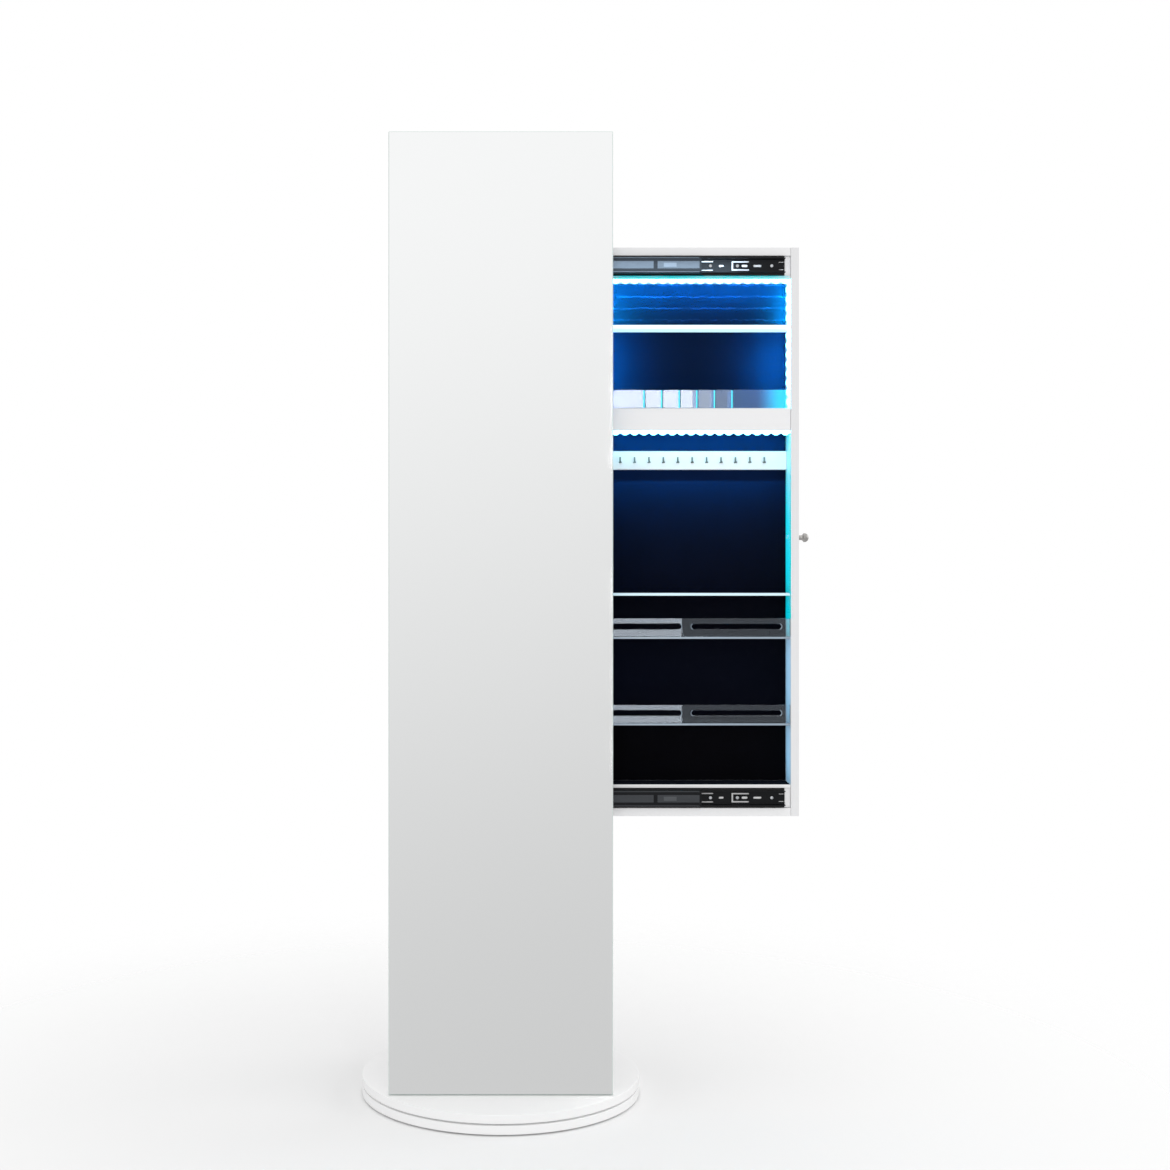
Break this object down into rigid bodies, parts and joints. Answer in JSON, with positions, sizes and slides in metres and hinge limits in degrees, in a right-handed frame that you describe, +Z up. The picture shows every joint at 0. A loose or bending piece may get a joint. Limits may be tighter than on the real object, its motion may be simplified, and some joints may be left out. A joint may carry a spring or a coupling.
{
  "type": "rotating jewelry armoire",
  "caption": "Tall mirror on a swivel disc base, with a side-sliding lit jewelry drawer, hanging rail, coat pegs, shelf and anti-tip strap behind it.",
  "frame": {"origin": "on the floor, on the swivel base's turning axis, under its centre pad", "axes": "+Z up; the mirror faces -Y; the drawer slides out along +X"},
  "size_m": [0.6343, 0.4, 1.3611],
  "materials": {
    "board": "white melamine faced particle board, satin",
    "white_paint": "white painted turned wood",
    "white_metal": "white powder coated tube",
    "mirror": "silvered flat glass",
    "black_film": "matte black",
    "black_board": "black foil faced board",
    "black_steel": "black electrocoated steel",
    "velvet": "black flocked velvet",
    "acrylic": "clear cast acrylic",
    "led": "silicone covered LED tape, lit cool white",
    "nickel": "satin nickel",
    "steel": "zinc plated",
    "dark_steel": "black oxide",
    "zinc": "die-cast zinc",
    "aluminium": "mill finish",
    "nylon": "moulded nylon",
    "rubber": "matte black",
    "webbing": "white woven webbing"
  },
  "bodies": {
    "base": {"base_lower_disc": "board", "foot_pad_centre": "rubber", "foot_pad_1": "rubber", "foot_pad_2": "rubber", "foot_pad_3": "rubber", "foot_pad_4": "rubber", "bearing_lower_race": "aluminium", "pivot_bolt": "dark_steel"},
    "bearing_cage": {"bearing_ball_cage": "nylon"},
    "turntable": {"bearing_upper_race": "aluminium", "base_upper_disc": "board", "mirror_glass": "mirror", "mirror_back_film": "black_film", "mirror_board": "board", "upper_insert": "board", "rear_panel": "board", "top_plank": "board", "cam_lock_left": "zinc", "cam_lock_right": "zinc", "shelf": "board", "shelf_apron": "board", "hanging_rail": "white_metal", "coat_peg_1": "white_paint", "coat_peg_2": "white_paint", "coat_peg_3": "white_paint", "coat_peg_4": "white_paint", "anti_tip_strap": "webbing", "strap_top_screw": "steel", "strap_end_screw": "steel", "slide_outer_top": "black_steel", "slide_outer_bottom": "black_steel"},
    "upper_slide_middle": {"slide_middle_top": "black_steel"},
    "lower_slide_middle": {"slide_middle_bottom": "black_steel"},
    "drawer": {"drawer_top_wall": "board", "drawer_bottom_wall": "board", "drawer_end_wall": "board", "drawer_inner_wall": "board", "drawer_back_panel": "board", "drawer_liner": "velvet", "slide_inner_top": "black_steel", "slide_inner_bottom": "black_steel", "slide_mount_top": "black_board", "slide_mount_bottom": "black_board", "channel_divider_top": "board", "channel_divider_bottom": "board", "led_strip_top": "led", "led_strip_middle": "led", "led_battery_box": "black_film", "upper_shelf": "board", "ring_tray_floor": "board", "ring_tray_fascia": "board", "ring_divider_comb": "acrylic", "hook_bar": "board", "acrylic_shelf": "acrylic", "cosmetic_shelf_upper": "acrylic", "guard_rail_upper": "acrylic", "cosmetic_shelf_lower": "acrylic", "guard_rail_lower": "acrylic", "drawer_knob": "nickel", "knob_screw": "steel"}
  },
  "joints": [
    {"name": "turntable_turn", "type": "hinge", "parent": "base", "child": "turntable", "pos_m": [0, 0, 0.02], "axis": [0, 0, 1], "continuous": true},
    {"name": "bearing_cage_roll", "type": "hinge", "parent": "base", "child": "bearing_cage", "pos_m": [0, 0, 0.0156], "axis": [0, 0, 1], "continuous": true},
    {"name": "drawer_slide", "type": "slide", "parent": "turntable", "child": "drawer", "axis": [1, 0, 0], "range_m": [-0.26, 0]},
    {"name": "upper_slide_middle_travel", "type": "slide", "parent": "turntable", "child": "upper_slide_middle", "axis": [1, 0, 0], "range_m": [-0.13, 0]},
    {"name": "lower_slide_middle_travel", "type": "slide", "parent": "turntable", "child": "lower_slide_middle", "axis": [1, 0, 0], "range_m": [-0.13, 0]}
  ],
  "couplings": [
    {"joint": "bearing_cage_roll", "follows": "turntable_turn", "ratio": 0.5},
    {"joint": "upper_slide_middle_travel", "follows": "drawer_slide", "ratio": 0.5},
    {"joint": "lower_slide_middle_travel", "follows": "drawer_slide", "ratio": 0.5}
  ]
}
